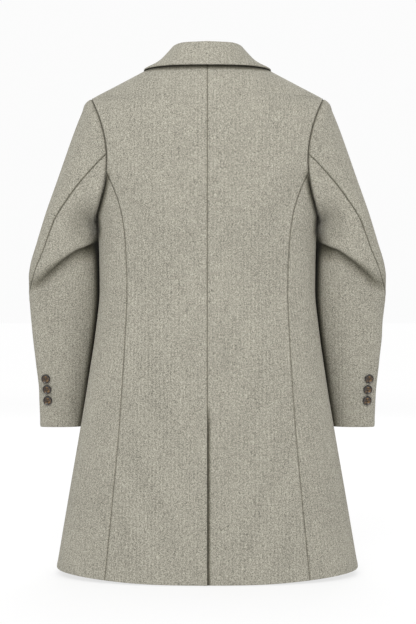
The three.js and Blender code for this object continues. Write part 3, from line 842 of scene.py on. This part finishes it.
# Materials
class Material:
    """A node material with short calls for adding its nodes."""

    def __init__(self, name):
        self.material = bpy.data.materials.new(name)
        self.material.use_nodes = True
        self.tree = self.material.node_tree
        self.tree.nodes.clear()

    def add(self, kind, inputs=None, **settings):
        node = self.tree.nodes.new(kind)
        for key, value in settings.items():
            setattr(node, key, value)
        for key, value in (inputs or {}).items():
            if isinstance(value, bpy.types.NodeSocket):
                self.tree.links.new(value, node.inputs[key])
            else:
                node.inputs[key].default_value = value
        return node

    def math(self, operation, *values):
        inputs = dict(enumerate(values))
        return self.add("ShaderNodeMath", inputs, operation=operation).outputs[0]

    def noise(self, vector, scale, detail=2.0, roughness=0.5):
        inputs = {"Vector": vector, "Scale": scale, "Detail": detail, "Roughness": roughness}
        return self.add("ShaderNodeTexNoise", inputs, noise_dimensions="3D").outputs["Fac"]

    def stretched(self, vector, x, y, z=1.0):
        inputs = {"Vector": vector, "Scale": (x, y, z)}
        return self.add("ShaderNodeMapping", inputs).outputs[0]

    def mixed(self, factor, first, second, blend="MIX"):
        node = self.add("ShaderNodeMix", {"Factor": factor}, data_type="RGBA", blend_type=blend)
        for socket, value in ((node.inputs[6], first), (node.inputs[7], second)):
            if isinstance(value, bpy.types.NodeSocket):
                self.tree.links.new(value, socket)
            else:
                socket.default_value = value
        return node.outputs[2]

    def finish(self, surface):
        self.add("ShaderNodeOutputMaterial", {"Surface": surface})
        return self.material


# Weave, in metres: each stripe's width and each rib's height
STRIPE = 0.0035
RIB = 0.0015
LIGHT_YARN = (0.615, 0.587, 0.49, 1)
DARK_YARN = (0.04, 0.037, 0.028, 1)


def wool():
    m = Material("herringbone_wool")
    cut = m.add("ShaderNodeUVMap", uv_map="cut").outputs[0]
    parts = m.add("ShaderNodeSeparateXYZ", {"Vector": cut})
    x, y = parts.outputs["X"], parts.outputs["Y"]
    wander = m.math("MULTIPLY", m.math("SUBTRACT", m.noise(cut, 120.0, 1.0), 0.5), 0.0012)
    zigzag = m.math("PINGPONG", m.math("ADD", x, wander), STRIPE)
    rise = m.math("ADD", m.math("ADD", y, wander), zigzag)
    rib = m.math("SINE", m.math("MULTIPLY", rise, 2 * math.pi / RIB))
    stripe = m.math("COSINE", m.math("MULTIPLY", m.math("ADD", x, wander), math.pi / STRIPE))
    place = m.add("ShaderNodeTexCoord").outputs["Object"]
    fleck = m.noise(m.stretched(place, 950, 950, 760), 1.0, 2.0, 0.6)
    grain = m.noise(m.stretched(place, 560, 560, 470), 1.0, 2.0, 0.6)
    streak = m.noise(m.stretched(cut, 260, 40), 1.0, 2.0, 0.5)
    cloud = m.noise(m.stretched(cut, 16, 9), 1.0, 2.0, 0.5)

    def centred(value, amount):
        return m.math("MULTIPLY", m.math("SUBTRACT", value, 0.5), amount)

    share = m.math("ADD", 0.5, m.math("MULTIPLY", rib, 0.18))
    share = m.math("ADD", share, m.math("MULTIPLY", stripe, 0.025))
    for value, amount in ((fleck, 1.1), (grain, 1.4), (streak, 0.16), (cloud, 0.15)):
        share = m.math("ADD", share, centred(value, amount))
    clamped = m.add("ShaderNodeClamp", {"Value": share}).outputs[0]
    colour = m.mixed(clamped, DARK_YARN, LIGHT_YARN)
    # The dark attribute carries painted shade, which darkens the weave's colour and takes blue away faster
    # than red and green, so that the painted shade is brownish.
    dark = m.add("ShaderNodeAttribute", attribute_name="dark").outputs["Fac"]
    left = m.math("SUBTRACT", 1.0, dark)
    shade_tint = {0: left, 1: m.math("POWER", left, 1.02), 2: m.math("POWER", left, 1.12)}
    colour = m.mixed(1.0, colour, m.add("ShaderNodeCombineColor", shade_tint).outputs[0], "MULTIPLY")

    nap = m.noise(m.stretched(cut, 900, 900), 1.0, 2.0, 0.6)
    height = m.math("ADD", m.math("MULTIPLY", rib, 0.25), m.math("MULTIPLY", fleck, 1.0))
    height = m.math("ADD", height, m.math("MULTIPLY", nap, 0.8))
    relief = m.add("ShaderNodeBump", {"Strength": 0.7, "Distance": 0.0006, "Height": height})
    shader = m.add("ShaderNodeBsdfPrincipled", {
        "Base Color": colour,
        "Roughness": 0.93,
        "Specular IOR Level": 0.1,
        "Sheen Weight": 0.1,
        "Sheen Roughness": 0.5,
        "Sheen Tint": (0.92, 0.9, 0.82, 1),
        "Normal": relief.outputs[0],
    })
    return m.finish(shader.outputs[0])


def horn():
    """Tortoiseshell button: near-black rim, amber-brown middle with darker patches."""
    m = Material("tortoiseshell")
    place = m.add("ShaderNodeTexCoord").outputs["Object"]
    rim = m.add("ShaderNodeAttribute", attribute_name="rim").outputs["Fac"]
    mottle = m.noise(m.stretched(place, 300, 300, 300), 1.0, 3.0, 0.6)
    streak = m.noise(m.stretched(place, 160, 700, 300), 1.0, 2.0, 0.55)
    share = m.math("ADD", m.math("MULTIPLY", mottle, 1.1), m.math("MULTIPLY", streak, 0.3))
    share = m.math("SUBTRACT", share, m.math("ADD", 0.15, m.math("MULTIPLY", rim, 0.4)))
    ramp = m.add("ShaderNodeValToRGB", {"Fac": share})
    stops = (
        (0.28, (0.005, 0.003, 0.002, 1)),
        (0.5, (0.035, 0.017, 0.005, 1)),
        (0.68, (0.22, 0.115, 0.026, 1)),
    )
    elements = ramp.color_ramp.elements
    elements.new(0.5)
    for element, (position, colour) in zip(elements, stops):
        element.position, element.color = position, colour
    shader = m.add("ShaderNodeBsdfPrincipled", {
        "Base Color": ramp.outputs[0],
        "Roughness": 0.28,
        "Coat Weight": 0.4,
        "Coat Roughness": 0.12,
    })
    return m.finish(shader.outputs[0])


def thread():
    m = Material("button_thread")
    place = m.add("ShaderNodeTexCoord").outputs["Object"]
    twist = m.add("ShaderNodeTexWave", {"Vector": place, "Scale": 900.0, "Distortion": 1.0}).outputs["Fac"]
    colour = m.mixed(twist, (0.03, 0.022, 0.015, 1), (0.09, 0.07, 0.05, 1))
    shader = m.add("ShaderNodeBsdfPrincipled", {"Base Color": colour, "Roughness": 0.8})
    return m.finish(shader.outputs[0])


def paper():
    """Pale floor with a faint glow, so that it stays as white as the surround far from the light."""
    m = Material("pale_floor")
    place = m.add("ShaderNodeTexCoord").outputs["Object"]
    tone = m.math("ADD", 0.25, m.math("MULTIPLY", m.noise(place, 3.0, 1.0), 0.01))
    colour = m.add("ShaderNodeCombineColor", {0: tone, 1: tone, 2: tone}).outputs[0]
    away = m.add("ShaderNodeVectorMath", {0: place}, operation="LENGTH").outputs["Value"]
    reach = {"From Min": 1.0, "From Max": 7.0, "To Min": 0.713, "To Max": 0.785}
    glow = m.add("ShaderNodeMapRange", {"Value": away, **reach})
    shader = m.add("ShaderNodeBsdfPrincipled", {
        "Base Color": colour,
        "Roughness": 0.9,
        "Specular IOR Level": 0.0,
        "Emission Color": (1, 1, 1, 1),
        "Emission Strength": glow.outputs["Result"],
    })
    return m.finish(shader.outputs[0])


wool_material = wool()
horn_material = horn()
thread_material = thread()

# Cloth pieces
def flat(turn, z):
    return 0 * z


over_vent = back_relief(drape_left, vent_lift=2.2, vent_width=16)
under_vent = back_relief(drape_right, vent_lift=-0.8, vent_width=9)
cloth_pieces = {
    "back_left": back_panel("back_left_cloth", 1, over_vent, back_shade(vent_dark=0)),
    "back_right": back_panel("back_right_cloth", -1, under_vent, back_shade(vent_dark=0.72)),
    "vent_underlap": vent_underlap(),
    "side_left": side_panel("side_left_cloth", 1, drape_left),
    "side_right": side_panel("side_right_cloth", -1, drape_right),
    "front_left": front_panel("front_left_cloth", 1, over_right),
    "front_right": front_panel("front_right_cloth", -1, flat),
    "lapel_left": lapel_panel("lapel_left_cloth", 1, over_right, False),
    "lapel_right": lapel_panel("lapel_right_cloth", -1, flat, True),
    "collar": collar_shell(),
    "sleeve_upper_left": upper_sleeve("sleeve_upper_left_cloth", 1, creases_left),
    "sleeve_upper_right": upper_sleeve("sleeve_upper_right_cloth", -1, creases_right),
    "sleeve_under_left": under_sleeve("sleeve_under_left_cloth", 1, creases_left),
    "sleeve_under_right": under_sleeve("sleeve_under_right_cloth", -1, creases_right),
}
for node, piece in cloth_pieces.items():
    piece.data.materials.append(wool_material)
    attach(piece, "root")
    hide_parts(node)


# Buttons
def tube_faces(rings, sides):
    """The faces of a tube of rings, closed at its first and last ring."""
    faces = []
    for low in range(0, (rings - 1) * sides, sides):
        for k in range(sides):
            after = (k + 1) % sides
            faces.append((low + k, low + after, low + sides + after, low + sides + k))
    faces.append(tuple(range(sides))[::-1])
    faces.append(tuple(range((rings - 1) * sides, rings * sides)))
    return faces


def button_mesh(name, radius, thick):
    """A button with a raised rim and a dished middle, its foot on z = 0."""
    profile = [
        (0.0, 0.0), (0.80, 0.0), (0.92, 0.08), (0.985, 0.25), (1.0, 0.5), (0.985, 0.78), (0.95, 0.93),
        (0.90, 1.0), (0.84, 0.98), (0.78, 0.88), (0.72, 0.74), (0.64, 0.65), (0.5, 0.61), (0.0, 0.6),
    ]
    segments = 48
    rings = [(r * radius, h * thick) for r, h in profile[1:-1]]
    points = [
        (r * math.cos(2 * math.pi * k / segments), r * math.sin(2 * math.pi * k / segments), h)
        for r, h in rings
        for k in range(segments)
    ]
    faces = tube_faces(len(rings), segments)
    mesh = bpy.data.meshes.new(name)
    mesh.from_pydata([tuple(c * MM for c in p) for p in points], [], faces)
    mesh.update()
    return mesh


def tube(points, radius, sides=8):
    """Points and faces of a closed tube along a line, in millimetres."""
    points = np.array(points, float)
    rows = []
    for i, point in enumerate(points):
        along = points[min(i + 1, len(points) - 1)] - points[max(i - 1, 0)]
        along /= np.linalg.norm(along)
        aside = np.cross(along, (0.37, 0.21, 0.9))
        aside /= np.linalg.norm(aside)
        other = np.cross(along, aside)
        turns = np.linspace(0, 2 * math.pi, sides, endpoint=False)
        rows.append([point + radius * (math.cos(a) * aside + math.sin(a) * other) for a in turns])
    verts = np.concatenate(rows)
    return verts, tube_faces(len(points), sides)


def apply_modifiers(obj):
    bpy.context.view_layer.update()
    graph = bpy.context.evaluated_depsgraph_get()
    mesh = bpy.data.meshes.new_from_object(obj.evaluated_get(graph))
    obj.modifiers.clear()
    obj.data = mesh


def make_button(name, node, radius, thick, foot, normal):
    """A four-hole button with its thread and shank, standing just off the cloth at foot."""
    hole_at, hole_radius = radius * 0.22, radius * 0.095
    button = bpy.data.objects.new(name, button_mesh(name, radius, thick))
    bpy.context.collection.objects.link(button)
    corners = [(sx * hole_at, sy * hole_at) for sx in (1, -1) for sy in (1, -1)]
    verts, faces = [], []
    for x, y in corners:
        part, part_faces = tube([(x, y, -1), (x, y, thick + 1)], hole_radius, 16)
        faces += [tuple(i + len(verts) for i in face) for face in part_faces]
        verts += [tuple(c * MM for c in p) for p in part]
    cutter_mesh = bpy.data.meshes.new("holes")
    cutter_mesh.from_pydata(verts, [], faces)
    cutter = bpy.data.objects.new("holes", cutter_mesh)
    bpy.context.collection.objects.link(cutter)
    holes = button.modifiers.new("holes", "BOOLEAN")
    holes.operation = "DIFFERENCE"
    holes.solver = "EXACT"
    holes.object = cutter
    apply_modifiers(button)
    bpy.data.objects.remove(cutter)
    bevel = button.modifiers.new("soft", "BEVEL")
    bevel.width = 0.12 * MM
    bevel.segments = 2
    bevel.limit_method = "ANGLE"
    bevel.angle_limit = math.radians(40)
    apply_modifiers(button)
    mesh = button.data
    mesh.polygons.foreach_set("use_smooth", np.ones(len(mesh.polygons), bool))
    rim = mesh.attributes.new("rim", "FLOAT", "POINT")
    values = [min(math.hypot(p.co.x, p.co.y) / (radius * MM), 1.0) ** 3 for p in mesh.vertices]
    rim.data.foreach_set("value", values)
    mesh.materials.clear()
    mesh.materials.append(horn_material)

    floor_z = thick * 0.6
    strands = []
    for side in (1, -1):
        for offset in (-0.28, 0.28):
            y = side * hole_at + offset * hole_radius * 2
            start, end = (-hole_at, y, floor_z - 1.2), (hole_at, y, floor_z - 1.2)
            over = []
            for share in (0.08, 0.3, 0.5, 0.7, 0.92):
                rise = 0.15 + 0.5 * math.sin(math.pi * share)
                over.append((mix(-hole_at, hole_at, share), y, floor_z + rise))
            strands.append(tube([start, *over, end], hole_radius * 0.42))
    strands.append(tube([(0, 0, -1.2), (0, 0, 0.3)], radius * 0.2, 16))
    verts, faces = [], []
    for part, part_faces in strands:
        faces += [tuple(i + len(verts) for i in face) for face in part_faces]
        verts += [tuple(c * MM for c in p) for p in part]
    stitch_mesh = bpy.data.meshes.new(f"{name}_thread")
    stitch_mesh.from_pydata(verts, [], faces)
    stitch_mesh.polygons.foreach_set("use_smooth", np.ones(len(stitch_mesh.polygons), bool))
    stitch_mesh.materials.append(thread_material)
    stitch = bpy.data.objects.new(f"{name}_thread", stitch_mesh)
    bpy.context.collection.objects.link(stitch)

    place = Vector(foot * MM) + Vector(normal) * 2 * SEAM_GAP * MM
    turn = Vector(normal).to_track_quat("Z", "Y")
    for obj in (button, stitch):
        obj.rotation_mode = "QUATERNION"
        obj.location = place
        obj.rotation_quaternion = turn
        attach(obj, "root")
    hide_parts(node)


front_buttons = {"radius": 12.5, "thick": 4.5, "heights": (-372, -492, -612)}
cuff_buttons = {"radius": 9, "thick": 3.4, "from_edge": 15.5, "heights": (-601, -622, -643.5)}
for i, z in enumerate(front_buttons["heights"], 1):
    turn, z = np.array(math.pi), np.array(float(z))
    foot = lifted(body_point, turn, z, over_right(turn, z))
    normal = normals_of(body_point, turn, z)
    sizes = front_buttons["radius"], front_buttons["thick"]
    make_button(f"front_button_{i}_horn", f"front_button_{i}", *sizes, foot, normal)


def sleeve_turn_at(from_edge, z):
    """The turn on the sleeve's back at the given distance in from its outer edge."""
    low, high = math.radians(25), math.radians(120)
    for _ in range(30):
        middle = (low + high) / 2
        is_outside = sleeve_point(middle, SLEEVE_TOP - z)[0] > sleeve["outer"](z) - from_edge
        low, high = (middle, high) if is_outside else (low, middle)
    return low


for side, sign in (("left", 1), ("right", -1)):
    for i, z in enumerate(cuff_buttons["heights"], 1):
        turn = np.array(sleeve_turn_at(cuff_buttons["from_edge"], z))
        down = np.array(float(SLEEVE_TOP - z))
        mirror = np.array([sign, 1, 1])
        foot = sleeve_point(turn, down) * mirror
        normal = normals_of(sleeve_point, turn, down) * mirror
        name = f"cuff_button_{side}_{i}"
        make_button(f"{name}_horn", name, cuff_buttons["radius"], cuff_buttons["thick"], foot, normal)

# Floor just below the hem
floor_mesh = bpy.data.meshes.new("floor")
reach, level = 60.0, (HEM["centre"] - 1.0) * MM
corners = [(x * reach, y * reach, level) for x, y in ((-1, -1), (1, -1), (1, 1), (-1, 1))]
floor_mesh.from_pydata(corners, [], [(0, 1, 2, 3)])
floor_mesh.materials.append(paper())
floor = bpy.data.objects.new("floor", floor_mesh)
bpy.context.collection.objects.link(floor)
floor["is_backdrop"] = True

# Soft studio light: a surround that is white behind the coat and dimmer on the side of its back,
# and a soft box above each side
world = bpy.data.worlds.new("surround")
world.use_nodes = True
background = world.node_tree.nodes["Background"]
background.inputs["Color"].default_value = (1, 1, 1, 1)
direction = world.node_tree.nodes.new("ShaderNodeTexCoord")
axes = world.node_tree.nodes.new("ShaderNodeSeparateXYZ")
level_of = world.node_tree.nodes.new("ShaderNodeMapRange")
level_of.interpolation_type = "SMOOTHSTEP"
for key, value in (("From Min", 0.3), ("From Max", -0.8), ("To Min", 0.74), ("To Max", 0.97)):
    level_of.inputs[key].default_value = value
world.node_tree.links.new(direction.outputs["Generated"], axes.inputs[0])
world.node_tree.links.new(axes.outputs["Y"], level_of.inputs["Value"])
world.node_tree.links.new(level_of.outputs["Result"], background.inputs["Strength"])
bpy.context.scene.world = world
bpy.context.scene.view_settings.view_transform = "Standard"


def soft_box(name, location, target, size, power):
    light = bpy.data.lights.new(name, "AREA")
    light.shape = "RECTANGLE"
    light.size, light.size_y = size
    light.energy = power
    obj = bpy.data.objects.new(name, light)
    obj.location = location
    obj.rotation_mode = "QUATERNION"
    obj.rotation_quaternion = (Vector(target) - Vector(location)).to_track_quat("-Z", "Y")
    bpy.context.collection.objects.link(obj)
    return obj


soft_box("key", (0.25, 3.0, 1.5), (0, 0, -0.4), (2.4, 1.6), 72)
soft_box("fill", (-0.3, -3.0, 1.6), (0, 0, -0.4), (2.4, 1.6), 45)

shown_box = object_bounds()
sizes = {"cad": [list(corner) for corner in cad_box], "visual": [list(corner) for corner in shown_box]}
